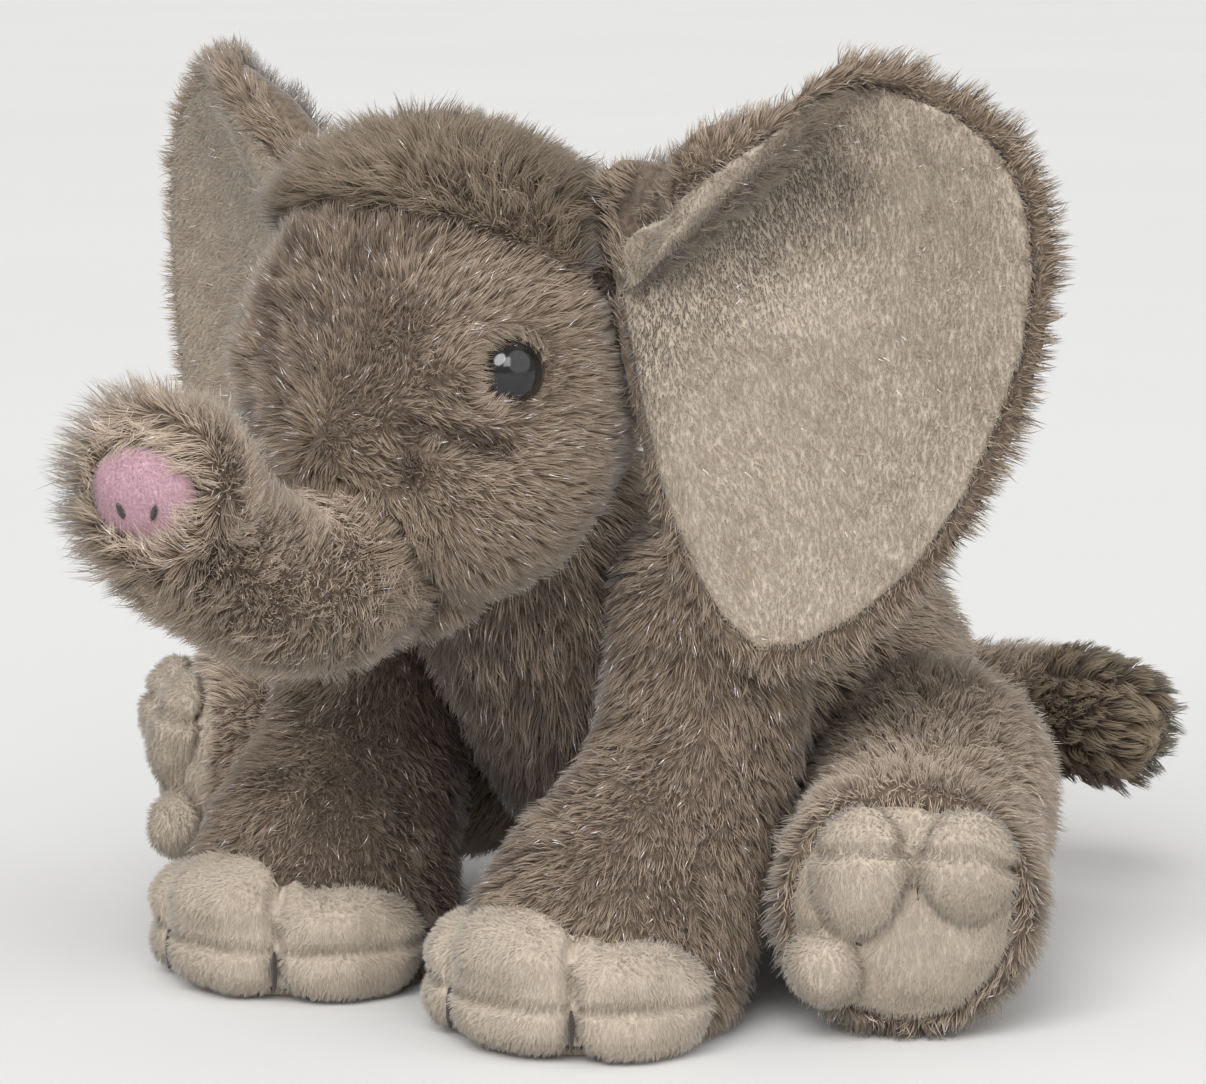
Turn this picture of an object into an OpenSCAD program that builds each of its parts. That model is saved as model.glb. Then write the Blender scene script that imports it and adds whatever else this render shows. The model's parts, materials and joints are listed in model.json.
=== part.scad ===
// Stuffed toy elephant, sitting, sewn from plush panels over loose stuffing.
// Frame: +Z up, the toy faces -Y, its left side is +X, and it rests on z = 0. Millimetres.
// The origin is on the floor under the middle of the toy's outline.
// Plush surfaces are drawn where the packed part of the pile ends; loose hair tips stand above them.

/* [Torso] */
// Half the width of the torso at the seat
seat_r = 53; // [51:0.5:54]
// Height of the rump's centre above the floor
seat_z = 48; // [46:0.5:50]
// How far the rump's centre is behind the origin
seat_y = 55; // [53:0.5:57]
// Radius of the ball that the head turns on
neck_r = 27; // [25:0.5:28]
// Height of the middle of the neck
neck_z = 104; // [103:0.5:105]

/* [Head] */
// Half the width of the skull
skull_rx = 42; // [40:0.5:43]
// Half the height of the skull
skull_rz = 42; // [41:0.5:43]
// Height of the skull's centre above the floor
head_z = 138; // [137:0.5:139]
// How far the crown panel stands above the face panel
crown_rise = 2.4; // [1.5:0.1:3]
// Diameter of a plastic eye
eye_d = 14; // [12:0.5:15]

/* [Trunk] */
// Radius of the trunk at its bend
trunk_r = 16.2; // [15:0.1:16.6]
// Diameter of the velour disc on the tip of the trunk
tip_disc_d = 23; // [20:0.5:25]
// Angle of the trunk's tip toward the toy's left
tip_turn = 18; // [12:1:22]

/* [Ears] */
// Angle that an ear sweeps back from straight out
ear_sweep = 28; // [26:0.5:30]
// How far the front top edge of an ear curls forward
ear_fold = 13; // [10:0.5:15]
// The same for the right ear, whose edge stands straighter
right_ear_fold = 4; // [2:0.5:8]
// How far the rim of an ear cups forward
ear_cup = 6; // [5:0.5:7]
// How much lower the right ear is sewn on than the left one
right_ear_drop = 5; // [3:0.5:6]

/* [Legs] */
// Radius of a front leg at the shoulder
shoulder_r = 20.5; // [19.5:0.5:21]
// Radius of a hind leg at the hip
hip_r = 27; // [26:0.5:27.5]
// Angle that the right hind leg is held up
right_hind_lift = 5; // [0:0.5:6]
// Angle that the right hind leg is spread further than the left one
right_hind_spread = 4; // [0:0.5:5]
// How far the right hind leg is pushed forward along itself
right_hind_push = 6; // [0:0.5:7]
// How thick a toe is from its root to its front
toe_depth = 13.5; // [12.5:0.25:14]

/* [Fabric] */
// Thickness of a plush panel, backing cloth and packed pile together
plush = 3; // [2.5:0.25:3.5]
// Gap between a panel and the stuffing behind it
fill_gap = 0.4; // [0.3:0.05:0.5]
// Running gap between two bodies that move apart
move_gap = 0.6; // [0.5:0.05:0.8]

/* [Hidden] */

// Where the bodies are hinged
neck_p = [0, -22, neck_z];
trunk_p = [0, -70, 103];
ear_p = [42, -37, 147];
shoulder_p = [46, -14, 86];
hip_p = [57, 49, 40];
tail_p = [2, 97, 47];
// Lean of the ear seam toward the head's middle
ear_lean = 13;

// Colours
taupe = [0.42, 0.37, 0.33];
olive = [0.36, 0.31, 0.25];
beige = [0.70, 0.64, 0.58];
pink = [0.80, 0.55, 0.68];
black = [0.03, 0.03, 0.04];
white = [0.90, 0.90, 0.88];

// The limbs are drawn about an upright line that is this far in front of the outline's middle
middle_y = 6;
seg = 16;
big = 400;

// Rings of points along a smooth curve through the stations [x, y, z, side radius, other radius]
function knot(P, i) = P[max(0, min(len(P) - 1, i))];
function between(a, b, c, d, t) =
  0.5 * (2 * b + (c - a) * t + (2 * a - 5 * b + 4 * c - d) * t * t + (3 * b - a - 3 * c + d) * t * t * t);
function smooth(P, n) = concat(
  [for (i = [0 : len(P) - 2]) for (k = [0 : n - 1])
    between(knot(P, i - 1), P[i], P[i + 1], knot(P, i + 2), k / n)],
  [P[len(P) - 1]]);
function unit(v) = v / norm(v);
function spot(s) = [s[0], s[1], s[2]];
function heading(P, i) = unit(spot(knot(P, i + 1)) - spot(knot(P, i - 1)));
function capped(P, n, c0, c1, g) = concat(
  c0 <= 0 ? [] : [for (k = [1 : n]) let (a = 90 * (1 - k / (n + 1)), s = P[0], T = heading(P, 0))
    concat(spot(s) - T * (c0 + g) * sin(a), [(s[3] + g) * cos(a), (s[4] + g) * cos(a)])],
  [for (s = P) [s[0], s[1], s[2], s[3] + g, s[4] + g]],
  c1 <= 0 ? [] : [for (k = [n : -1 : 1]) let (a = 90 * (1 - k / (n + 1)), s = P[len(P) - 1],
    T = heading(P, len(P) - 1))
    concat(spot(s) + T * (c1 + g) * sin(a), [(s[3] + g) * cos(a), (s[4] + g) * cos(a)])]);

// A solid through the stations, with a rounded end of length c0 or c1, or a flat one when that is 0
module tube(P, side, c0, c1, g = 0, n = 2, caps = 3) {
  S = smooth(P, n);
  R = capped(S, caps, c0, c1, g);
  T0 = heading(S, 0);
  T1 = heading(S, len(S) - 1);
  lead = c0 <= 0 ? 0 : caps;
  first = c0 <= 0 ? spot(S[0]) : spot(S[0]) - T0 * (c0 + g);
  last = c1 <= 0 ? spot(S[len(S) - 1]) : spot(S[len(S) - 1]) + T1 * (c1 + g);
  pts = [for (i = [0 : len(R) - 1])
    let (T = heading(S, max(0, min(len(S) - 1, i - lead))), U = unit(side - T * (side * T)), V = cross(T, U))
    for (j = [0 : seg - 1]) let (a = 360 * j / seg)
      spot(R[i]) + U * R[i][3] * cos(a) + V * R[i][4] * sin(a)];
  m = len(R);
  faces = concat(
    [for (i = [0 : m - 2]) for (j = [0 : seg - 1]) let (k = (j + 1) % seg)
      each [[i * seg + j, i * seg + k, (i + 1) * seg + k], [i * seg + j, (i + 1) * seg + k, (i + 1) * seg + j]]],
    [for (j = [0 : seg - 1]) [m * seg, (j + 1) % seg, j]],
    [for (j = [0 : seg - 1]) [m * seg + 1, (m - 1) * seg + j, (m - 1) * seg + (j + 1) % seg]]);
  polyhedron(concat(pts, [first, last]), [for (f = faces) [f[0], f[2], f[1]]]);
}

// A rounded pad with half sizes r
module pad(r, n = 20) {
  scale(r) sphere(1, $fn = n);
}

module above(z) {
  intersection() {
    children();
    translate([-big / 2, -big / 2, z]) cube(big);
  }
}

module turned(p, a, axis) {
  translate(p) rotate(a, axis) translate(-p) children();
}

module mirrored(right) {
  if (right) mirror([1, 0, 0]) children();
  else children();
}

// Puts a finished piece where the origin is under the middle of the toy's outline
module placed() {
  translate([0, middle_y, 0]) children();
}

// The same for a soft shape, which is closed up as one mesh
module sewn() {
  placed() resize([0, 0, 0]) children();
}

// Torso -------------------------------------------------------------------------------------------

module torso_form(g = 0) {
  tube([
    [0, seat_y, seat_z, seat_r, seat_r],
    [0, 30, 61, 48, 46],
    [0, 6, 75, 40, 37],
    [0, -12, 90, 31, 30],
    [neck_p[0], neck_p[1], neck_p[2], neck_r, neck_r]
  ], [1, 0, 0], seat_r, neck_r, g);
}

// The room that the limbs and the tail need in the torso
module torso_sockets(g) {
  for (right = [false, true]) {
    for (a = [-7, 7]) mirrored(right) turned(shoulder_p, a, [1, 0, 0]) front_leg_form(g);
    for (a = [-3, 4, 11]) hind_leg_placed(right, a) hind_leg_form(g);
  }
  for (a = [-16, 0, 16]) turned(tail_p, a, [0, 0, 1]) tail_form(g);
}

// The same room in the stuffing, which is cut with rounder and wider tools
module stuffing_sockets() {
  for (right = [false, true]) {
    mirrored(right) hull() {
      translate(shoulder_p) sphere(shoulder_r + 5.8, $fn = 10);
      translate([46, -22, 44]) sphere(shoulder_r + 7.6, $fn = 10);
    }
    hind_leg_placed(right) hull() {
      translate(hip_p) sphere(hip_r + 4.5, $fn = 10);
      translate([84, 12, 34]) sphere(hip_r + 7.3, $fn = 10);
    }
  }
  hull() {
    translate(tail_p) sphere(15.3, $fn = 10);
    translate([16, 111, 46.5]) sphere(17.3, $fn = 10);
  }
}

module torso_skin() {
  color(taupe)
  sewn()
  difference() {
    above(0) torso_form();
    above(plush) torso_form(-plush);
    torso_sockets(move_gap);
    neck_form(move_gap);
  }
}

module torso_stuffing() {
  color(white)
  sewn()
  difference() {
    above(plush + fill_gap) torso_form(-plush - fill_gap);
    stuffing_sockets();
    neck_form(move_gap);
    pouch_form(fill_gap);
    translate([0, 53, 0]) scale([1, 1.5, 1]) cylinder(r = 11, h = 19, $fn = 16);
  }
}

module pouch_form(g = 0) {
  translate([0, 53, 19]) pad([15 + g, 22 + g, 12 + g], 14);
}

module seat_pellet_pouch() {
  color(beige) sewn() pouch_form();
}

// Neck: a ball of stuffing with a stem, round about the upright line that it turns on
module neck_form(g = 0) {
  translate(neck_p)
  rotate_extrude($fn = 20)
  intersection() {
    union() {
      circle(r = 13 + g, $fn = 20);
      translate([0, 0]) square([6 + g, 30 + g]);
    }
    translate([0, -50]) square([50, 100]);
  }
}

module neck_stuffing() {
  color(white) placed() neck_form();
}

// Head --------------------------------------------------------------------------------------------

module head_form(g = 0) {
  hull() {
    translate([0, -43, head_z]) pad([skull_rx + g, 41 + g, skull_rz + g], 24);
    for (side = [-1, 1]) translate([side * 18, -58, 113]) sphere(22 + g, $fn = 18);
    translate([0, -66, 110]) sphere(20 + g, $fn = 18);
  }
}

module chin_form(g = 0) {
  translate([0, -57, 92]) rotate([18, 0, 0]) pad([19 + g, 15 + g, 10 + g], 18);
}

// Everything behind and above the seam of the crown panel
module crown_room() {
  translate([0, -72, 174]) rotate([-35, 0, 0]) translate([-big / 2, -big / 2, 0]) cube(big);
}

// The crown panel has a longer pile, so it stands above the face panel, most of all at the top
module crown_form() {
  translate([0, -45, head_z + 3]) pad([skull_rx + crown_rise, 39.5 + crown_rise, skull_rz + crown_rise], 24);
}

// The room that the neck, the trunk and the ears need in the head
module head_sockets(g) {
  translate(neck_p) sphere(neck_r + g, $fn = 20);
  for (a = [-5, 5]) turned(neck_p, a, [1, 0, 0]) neck_form(g);
  for (a = [-10, 0, 10]) turned(trunk_p, a, [1, 0, 0]) trunk_form(g);
  for (right = [false, true]) hull() {
    for (a = [-10, 8, 26]) ear_turned(right, a) ear_root_room(g);
  }
}

// The strip of an ear that stands in the head
module ear_root_room(g) {
  translate([0, 0, ear_p[2]])
  rotate([0, -ear_lean, 0])
  translate([-3.6 - g, -4.4 - g, -34]) cube([8, 8.8 + 2 * g, 68]);
}

module eye_holes(g) {
  for (side = [-1, 1]) eye_place(side) {
    translate([0, 0, -14]) cylinder(r = 2 + g, h = 16, $fn = 16);
  }
}

module face_skin() {
  color(taupe)
  sewn()
  difference() {
    head_form();
    head_form(-plush);
    crown_room();
    chin_form();
    head_sockets(move_gap);
    eye_holes(0.1);
    for (side = [-1, 1]) eye_place(side) eye_profile(0);
  }
}

module crown_skin() {
  color(olive)
  sewn()
  difference() {
    intersection() {
      crown_form();
      crown_room();
    }
    head_form(-plush);
    head_sockets(move_gap);
  }
}

module chin_skin() {
  color(taupe)
  sewn()
  difference() {
    chin_form();
    head_form(-plush);
    head_sockets(move_gap);
  }
}

module head_stuffing() {
  color(white)
  sewn()
  difference() {
    head_form(-plush - fill_gap);
    translate(neck_p) sphere(neck_r + 1.9, $fn = 14);
    translate(neck_p) rotate([4, 0, 0]) cylinder(r = 12.8, h = 34, $fn = 14);
    translate(trunk_p) sphere(21.9, $fn = 14);
    for (right = [false, true]) hull() {
      for (a = [-10, 26]) ear_turned(right, a) ear_root_room(move_gap);
    }
    for (side = [-1, 1]) eye_place(side) {
      translate([0, 0, -13]) cylinder(r = 2.7, h = 16, $fn = 16);
      translate([0, 0, -10]) cylinder(r = 8.7, h = 10, $fn = 16);
    }
  }
}

// Puts a thing that is drawn along +Z with its back on z = 0 on the face where an eye is sewn in
module eye_place(side) {
  translate([side * 36.7, -65.2, 139]) rotate([0, 0, side * 61]) rotate([88, 0, 0]) children();
}

module eye_profile(g = 0) {
  rotate_extrude($fn = 28)
  intersection() {
    translate([0, -1.5]) scale([1, 0.72]) circle(r = eye_d / 2 + g, $fn = 28);
    translate([0, -1.5]) square([20, 20]);
  }
}

module eye(side) {
  color(black)
  placed()
  eye_place(side) {
    eye_profile();
    translate([0, 0, -11]) cylinder(r = 2, h = 10, $fn = 24);
  }
}

module left_eye() {
  eye(1);
}

module right_eye() {
  eye(-1);
}

module eye_washer(side) {
  color(white)
  placed()
  eye_place(side)
  translate([0, 0, -9.4])
  difference() {
    cylinder(r = 8, h = 1.6, $fn = 24);
    translate([0, 0, -1]) cylinder(r = 2, h = 4, $fn = 24);
  }
}

module left_eye_washer() {
  eye_washer(1);
}

module right_eye_washer() {
  eye_washer(-1);
}

// Trunk -------------------------------------------------------------------------------------------

module trunk_form(g = 0) {
  tube([
    [trunk_p[0], trunk_p[1], trunk_p[2], 18.5, 18.5],
    [0, -80, 96, 18, 18],
    [0, -94, 95, 16.6, 16.6],
    [0.4, -108, 101, trunk_r, trunk_r],
    [1.6, -121, 110, trunk_r, trunk_r],
    [3.6, -130.5, 119, 17.6, 17.6],
    [5.2, -136.6, 120.4, 16.6, 16.6]
  ], [1, 0, 0], 18.5, 3, g);
}

module tip_place() {
  translate([5.8, -138.8, 119.4]) rotate([0, 0, tip_turn]) rotate([100, 0, 0]) children();
}

module tip_disc_form(g = 0) {
  tip_place() pad([tip_disc_d / 2 + g, tip_disc_d / 2 - 1.4 + g, 4.2 + g], 20);
}

module nostril_form(g = 0) {
  tip_place()
  for (side = [-1, 1]) translate([side * 3.6, -2.4, 3.9]) rotate([0, side * 12, side * -20]) pad([0.7 + g, 1.8 + g, 0.8 + g], 8);
}

module trunk_skin() {
  color(taupe)
  sewn()
  difference() {
    trunk_form();
    trunk_form(-plush);
    tip_disc_form();
  }
}

module trunk_stuffing() {
  color(white)
  sewn()
  difference() {
    trunk_form(-plush - fill_gap);
    tip_disc_form(fill_gap);
  }
}

module trunk_tip_disc() {
  color(pink)
  sewn()
  difference() {
    tip_disc_form();
    nostril_form();
  }
}

module nostril_stitches() {
  color(black) sewn() nostril_form();
}

// Ears --------------------------------------------------------------------------------------------

// Outline of the left ear, [reach from the seam, height], going round from the lobe end of the seam
ear_outline = [
  [3.4, 119], [7.5, 106], [13, 94], [20, 82.5], [28, 75.5], [38, 76.5], [52, 84], [64, 95], [74, 110],
  [82, 127], [87.5, 144], [89.5, 161], [87.5, 176], [82, 187], [72, 195.5], [57, 201], [48, 202],
  [40, 201.8], [31, 200.6], [23, 198.5], [15.5, 195.5], [9, 191.5], [3, 187], [-2, 181.5],
  [-5, 176.5], [-6.6, 170.5], [-6, 163.5], [-4, 156], [-1, 139]
];
ear_mid = [36, 145];

function step01(a, b, x) = let (t = max(0, min(1, (x - a) / (b - a)))) t * t * (3 - 2 * t);
// How far a point is outside the line along which the front top edge folds forward
function past_fold(p) = (p - [-2, 151]) * [-0.661, 0.752];
// How far a point of the ear stands forward of its flat plane; fold is the height of its folded edge
function ear_lift(p, rho, fold) =
  step01(0, 22, p[0]) * ear_cup * step01(0.45, 1, rho)
  + fold * step01(-3, 10, past_fold(p)) * (1 - step01(26, 58, p[0])) * step01(-5, 9, p[0])
  - 3 * step01(8, 30, p[0]) * (1 - step01(0.1, 0.8, rho));
function ear_ring(rho) = [for (q = ear_outline) ear_mid + rho * (q - ear_mid)];

// A sheet between two heights above the ear's plane, out to the part rho of its outline
module ear_sheet(rho, low, high, edge, fold) {
  rings = [0.35, 0.6, 0.74, 0.83, 0.92, 1];
  n = len(ear_outline);
  m = len(rings);
  function lay(f) = concat(
    [for (r = rings) for (q = ear_ring(r * rho))
      let (taper = edge ? sqrt(max(0.02, 1 - pow(r, 8))) : 1)
      [q[0], -ear_lift(q, r * rho, fold) - ((low + high) / 2 + f * (high - low) / 2 * taper), q[1]]],
    [[ear_mid[0], -ear_lift(ear_mid, 0, fold) - ((low + high) / 2 + f * (high - low) / 2), ear_mid[1]]]);
  top = n * m + 1;
  skin = concat(
    [for (j = [0 : n - 1]) [n * m, j, (j + 1) % n]],
    [for (i = [0 : m - 2]) for (j = [0 : n - 1]) let (k = (j + 1) % n)
      each [[i * n + j, (i + 1) * n + j, (i + 1) * n + k], [i * n + j, (i + 1) * n + k, i * n + k]]]);
  rim = [for (j = [0 : n - 1]) let (k = (j + 1) % n, o = (m - 1) * n)
    each [[o + j, top + o + j, top + o + k], [o + j, top + o + k, o + k]]];
  polyhedron(concat(lay(-1), lay(1)), concat(
    skin,
    [for (f = skin) [f[0] + top, f[2] + top, f[1] + top]],
    rim));
}

module ear_form(right, g = 0) {
  ear_sheet(1 + g / 60, -3.2 - g, 2.2 + g, true, right ? right_ear_fold : ear_fold);
}

module ear_panel_form(right, g = 0) {
  ear_sheet(0.91, 0, 2.2 + g, false, right ? right_ear_fold : ear_fold);
}

// The plump roll of plush behind the folded edge of an ear
ear_roll = [[-4, 176, 3.5], [1, 182.5, 6], [12, 191.5, 6.5], [27, 197, 6], [44, 199, 4], [60, 198, 2.5]];

module ear_roll_form(right, g = 0) {
  fold = right ? right_ear_fold : ear_fold;
  for (i = [0 : len(ear_roll) - 2]) hull() for (q = [ear_roll[i], ear_roll[i + 1]])
    translate([q[0], -ear_lift([q[0], q[1]], 1, fold) + q[2] - 2.5, q[1]]) sphere(q[2] + g, $fn = 8);
}

// Puts an ear that is drawn at the origin on the head, turned about its seam by a
module ear_turned(right, a = 0) {
  axis = [-sin(ear_lean) * cos(ear_sweep), -sin(ear_lean) * sin(ear_sweep), cos(ear_lean)];
  mirrored(right)
  translate(right ? [0, 0, -right_ear_drop] : [0, 0, 0])
  turned(ear_p, -a, axis)
  translate([ear_p[0], ear_p[1], 0]) rotate([0, 0, ear_sweep]) children();
}

module ear_back(right) {
  color(taupe)
  sewn()
  ear_turned(right)
  difference() {
    union() {
      ear_form(right);
      ear_roll_form(right);
    }
    ear_panel_form(right, 8);
  }
}

module ear_front(right) {
  color(beige)
  sewn()
  ear_turned(right) ear_panel_form(right);
}

module left_ear_back() {
  ear_back(false);
}

module left_ear_front() {
  ear_front(false);
}

module right_ear_back() {
  ear_back(true);
}

module right_ear_front() {
  ear_front(true);
}

// Front legs --------------------------------------------------------------------------------------

module front_leg_form(g = 0) {
  above(0.5)
  tube([
    [shoulder_p[0], shoulder_p[1], shoulder_p[2], shoulder_r, shoulder_r],
    [46, -15, 68, 20.5, 21],
    [45.5, -20, 48, 21, 22.5],
    [43, -31, 31, 24, 28],
    [40.5, -40, 17, 27, 31.5],
    [40, -41, 7, 27.5, 32],
    [40, -41, 0, 23, 28]
  ], [1, 0, 0], shoulder_r, 0, g);
}

module front_sole_form(g = 0) {
  translate([40, -41, 0])
  linear_extrude(2)
  polygon([for (a = [0 : 10 : 350]) [(22 + g) * cos(a), (26.5 + g) * sin(a)]]);
}

// Toes about the front of a foot, each sewn from an upper and a lower lobe:
// [angle, half width, half height of the upper lobe, its height, half height of the lower lobe, its height]
front_toes = [
  [-47, 17, 8.5, 17, 8.5, 7.8],
  [2, 20.5, 11.5, 20.5, 8.8, 8],
  [48, 15.5, 9, 17, 8.3, 7.5]
];

module front_toe_form(t, g = 0) {
  for (lobe = [[t[2], t[3]], [t[4], t[5]]])
    translate([40, -41, 0])
    rotate([0, 0, t[0]])
    translate([0, -22.5, lobe[1]])
    pad([t[1] + g, toe_depth + g, lobe[0] + g], 10);
}

// What joins the two lobes of a toe to each other and to the next toe, behind their fronts
module front_toe_web(t) {
  translate([40, -41, 0])
  rotate([0, 0, t[0]])
  translate([0, -22.5, 11.5])
  pad([t[1] + 4, toe_depth - 1.1, (t[2] + t[3]) / 2], 10);
}

module front_toe_seams(g = 0) {
  for (a = [-26, 29]) translate([40, -41, 0]) rotate([0, 0, a]) translate([0, -34.5, 7.6])
    pad([0.7 + g, 1 + g, 4.6 + g], 8);
}

// The room that the ear on that side needs as the head turns on the neck
module ear_passing_room(right) {
  for (a = [-4.6, -3.2, 3.2, 4.6]) turned(neck_p, a, [0, 0, 1]) ear_turned(right) ear_form(right, move_gap);
  for (a = [-4, 4]) turned(neck_p, a, [0, 0, 1]) turned(neck_p, 5, [1, 0, 0])
    ear_turned(right, 24) ear_form(right, 1.5);
}

module front_leg_skin(right) {
  color(taupe)
  sewn()
  difference() {
    mirrored(right) front_leg_form();
    mirrored(right) above(plush) front_leg_form(-plush);
    mirrored(right) front_sole_form(0.3);
    // The armhole, which faces the torso
    mirrored(right) translate(shoulder_p) rotate([0, -90, 0]) cylinder(r = 12, h = 40, $fn = 16);
    ear_passing_room(right);
  }
}

module front_leg_stuffing(right) {
  color(white)
  sewn()
  mirrored(right)
  above(plush + fill_gap) front_leg_form(-plush - 5 * fill_gap);
}

module front_sole(right) {
  color(beige)
  placed()
  mirrored(right) front_sole_form();
}

module front_toe_set(right) {
  color(beige)
  sewn()
  mirrored(right)
  difference() {
    union() {
      front_toe_form(front_toes[0]);
      front_toe_form(front_toes[2]);
      front_toe_form(front_toes[1]);
      for (t = front_toes) front_toe_web(t);
    }
    front_leg_form();
    front_toe_seams(0.1);
    translate([-big / 2, -big / 2, 1 - big]) cube(big);
  }
}

module front_toe_stitches(right) {
  color(black) sewn() mirrored(right) front_toe_seams();
}

module left_front_leg_skin() {
  front_leg_skin(false);
}

module left_front_leg_stuffing() {
  front_leg_stuffing(false);
}

module left_front_sole() {
  front_sole(false);
}

module left_front_toes() {
  front_toe_set(false);
}

module left_front_toe_stitches() {
  front_toe_stitches(false);
}

module right_front_leg_skin() {
  front_leg_skin(true);
}

module right_front_leg_stuffing() {
  front_leg_stuffing(true);
}

module right_front_sole() {
  front_sole(true);
}

module right_front_toes() {
  front_toe_set(true);
}

module right_front_toe_stitches() {
  front_toe_stitches(true);
}

// Hind legs ---------------------------------------------------------------------------------------

sole_p = [96, -11, 28];
sole_turn = 34;

module hind_leg_form(g = 0) {
  above(0.4)
  tube([
    [hip_p[0], hip_p[1], hip_p[2], hip_r, hip_r],
    [69, 31, 36, 25.5, 27],
    [82, 11, 31, 25, 26.5],
    [91, -4, 28.5, 27.5, 27.5],
    [sole_p[0] - 0.6, sole_p[1] + 0.9, 28, 27.5, 26.5]
  ], [0.84, 0.55, 0], hip_r, 3.5, g);
}

// Puts a hind leg on its side of the torso, turned about its hip by a; the right one is held higher
module hind_leg_placed(right, a = 0) {
  mirrored(right)
  translate(right ? right_hind_push * [0.5, -0.866, 0] : [0, 0, 0])
  turned(hip_p, a + (right ? right_hind_spread : 0), [0, 0, 1])
  turned(hip_p, right ? right_hind_lift : 0, [-0.84, -0.55, 0])
  children();
}

// Puts a thing that is drawn in the x-z plane and faces -y on the end of the hind leg
module sole_place() {
  translate(sole_p) rotate([0, 0, sole_turn]) children();
}

module hind_sole_form(g = 0) {
  sole_place() translate([-1, -0.8, 0]) pad([24.5 + g, 5.4 + g, 23.5 + g], 18);
}

// Toes on a hind sole: [across, up, half width, half height]
hind_toes = [[-9.3, 8, 12.7, 15.5], [12.6, 10.2, 12.2, 12.8], [-17, -12.2, 8.5, 8.5]];

module hind_toe_form(t, g = 0) {
  sole_place() translate([t[0], -4.4, t[1]]) pad([t[2] + g, 5.6 + g, t[3] + g], 12);
}

module hind_toe_seams(g = 0) {
  sole_place() translate([2.4, -6.8, 8]) pad([0.5 + g, 0.9 + g, 5.4 + g], 8);
  sole_place() translate([-12.5, -6.4, -5.2]) rotate([0, 16, 0]) pad([4.5 + g, 0.9 + g, 0.5 + g], 8);
}

module hind_leg_skin(right) {
  color(taupe)
  sewn()
  hind_leg_placed(right)
  difference() {
    hind_leg_form();
    above(plush) hind_leg_form(-plush);
    hind_sole_form();
  }
}

module hind_leg_stuffing(right) {
  color(white)
  sewn()
  hind_leg_placed(right)
  difference() {
    above(plush + fill_gap) hind_leg_form(-plush - fill_gap);
    hind_sole_form(fill_gap);
  }
}

module hind_sole(right) {
  color(beige)
  sewn()
  hind_leg_placed(right) hind_sole_form();
}

module hind_toe_set(right) {
  color(beige)
  sewn()
  hind_leg_placed(right)
  difference() {
    for (t = hind_toes) hind_toe_form(t);
    hind_sole_form();
    hind_leg_form();
    hind_toe_seams(0.1);
  }
}

module hind_toe_stitches(right) {
  color(black) sewn() hind_leg_placed(right) hind_toe_seams();
}

module left_hind_leg_skin() {
  hind_leg_skin(false);
}

module left_hind_leg_stuffing() {
  hind_leg_stuffing(false);
}

module left_hind_sole() {
  hind_sole(false);
}

module left_hind_toes() {
  hind_toe_set(false);
}

module left_hind_toe_stitches() {
  hind_toe_stitches(false);
}

module right_hind_leg_skin() {
  hind_leg_skin(true);
}

module right_hind_leg_stuffing() {
  hind_leg_stuffing(true);
}

module right_hind_sole() {
  hind_sole(true);
}

module right_hind_toes() {
  hind_toe_set(true);
}

module right_hind_toe_stitches() {
  hind_toe_stitches(true);
}

// Tail --------------------------------------------------------------------------------------------

module tail_form(g = 0) {
  tube([
    [tail_p[0], tail_p[1], tail_p[2], 9.5, 9.5],
    [16, 111, 46.5, 10.5, 10.5],
    [36, 118.5, 46, 12, 12],
    [52, 119, 44.6, 12.4, 12.4],
    [60, 117.5, 44, 11, 11]
  ], [0, 0, 1], 9.5, 7, g);
}

// The side of the seam on which the tuft is
module tuft_room() {
  translate([40, 119, 46]) rotate([0, 0, -4]) translate([0, -big / 2, -big / 2]) cube(big);
}

module tail_skin() {
  color(taupe)
  sewn()
  difference() {
    tail_form();
    tail_form(-plush);
    tuft_room();
  }
}

module tail_tuft() {
  color(olive)
  sewn()
  difference() {
    intersection() {
      tail_form();
      tuft_room();
    }
    tail_form(-plush);
  }
}

module tail_stuffing() {
  color(white) sewn() tail_form(-plush - fill_gap);
}

// -------------------------------------------------------------------------------------------------

torso_skin();
torso_stuffing();
seat_pellet_pouch();
neck_stuffing();
face_skin();
crown_skin();
chin_skin();
head_stuffing();
left_eye();
right_eye();
left_eye_washer();
right_eye_washer();
trunk_skin();
trunk_stuffing();
trunk_tip_disc();
nostril_stitches();
left_ear_back();
left_ear_front();
right_ear_back();
right_ear_front();
left_front_leg_skin();
left_front_leg_stuffing();
left_front_sole();
left_front_toes();
left_front_toe_stitches();
right_front_leg_skin();
right_front_leg_stuffing();
right_front_sole();
right_front_toes();
right_front_toe_stitches();
left_hind_leg_skin();
left_hind_leg_stuffing();
left_hind_sole();
left_hind_toes();
left_hind_toe_stitches();
right_hind_leg_skin();
right_hind_leg_stuffing();
right_hind_sole();
right_hind_toes();
right_hind_toe_stitches();
tail_skin();
tail_tuft();
tail_stuffing();
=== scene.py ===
"""Looks of the stuffed toy elephant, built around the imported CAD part.

Every soft piece starts from its CAD solid: the solid is remeshed, relaxed and, where it is padded,
blown up with cloth pressure. Pile is real geometry: thin closed spikes that grow from the skins.
Lengths in this script are millimetres in the row frame; meshes are made in metres.
"""

import json
import math

import bpy
import numpy as np
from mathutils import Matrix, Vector
from mathutils.bvhtree import BVHTree
from mathutils.kdtree import KDTree

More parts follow.
